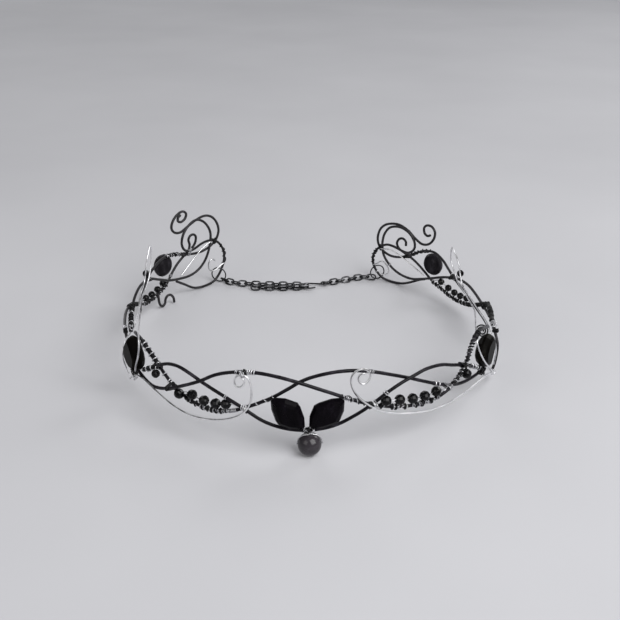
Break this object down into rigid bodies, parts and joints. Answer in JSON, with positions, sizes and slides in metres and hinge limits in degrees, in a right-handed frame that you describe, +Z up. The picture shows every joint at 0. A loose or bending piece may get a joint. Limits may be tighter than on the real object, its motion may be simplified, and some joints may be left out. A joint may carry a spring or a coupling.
{
  "type": "diadem",
  "caption": "Wire-wrapped diadem: black wire waves with silver wire swags, faceted black stones, small tied beads, a round drop bead at the brow, and a chain with a plain hook at the open back.",
  "frame": {"origin": "middle of the bounding box on the floor that the diadem rests on", "axes": "-Y to the front, over the forehead; +X to the right of the picture; +Z up, along the axis of the head opening"},
  "size_m": [0.1568, 0.1601, 0.0433],
  "materials": {
    "black_wire": "glossy black enamelled copper wire",
    "silver_wire": "bright silver-plated wire",
    "cut_stone": "polished, cut with facets",
    "pendant_stone": "mirror-polished round bead",
    "small_beads": "polished, cut with small facets",
    "fine_wire": "fine tying wire",
    "chain_metal": "dark plated, smooth"
  },
  "bodies": {
    "root": {"front_lower_wire": "black_wire", "left_rail_wire": "black_wire", "right_rail_wire": "black_wire", "left_top_wire": "black_wire", "left_diagonal_wire": "black_wire", "left_end_loop_wire": "black_wire", "right_top_wire": "black_wire", "right_diagonal_wire": "black_wire", "right_end_loop_wire": "black_wire", "left_hanging_scroll": "black_wire", "left_silver_swag": "silver_wire", "right_silver_swag": "silver_wire", "left_silver_frame": "silver_wire", "right_silver_frame": "silver_wire", "left_silver_brace": "silver_wire", "right_silver_brace": "silver_wire", "left_silver_curl": "silver_wire", "right_silver_curl": "silver_wire", "left_centre_stone": "cut_stone", "right_centre_stone": "cut_stone", "left_side_stone": "cut_stone", "right_side_stone": "cut_stone", "left_round_stone": "cut_stone", "right_round_stone": "cut_stone", "pendant_bead": "pendant_stone", "pendant_wire": "silver_wire", "left_front_beads": "small_beads", "right_front_beads": "small_beads", "left_back_beads": "small_beads", "right_back_beads": "small_beads", "left_front_thread": "fine_wire", "right_front_thread": "fine_wire", "left_back_thread": "fine_wire", "right_back_thread": "fine_wire", "left_jump_ring": "chain_metal", "right_jump_ring": "chain_metal", "left_chain": "chain_metal", "right_chain": "chain_metal", "clasp_hook": "chain_metal"}
  },
  "joints": []
}
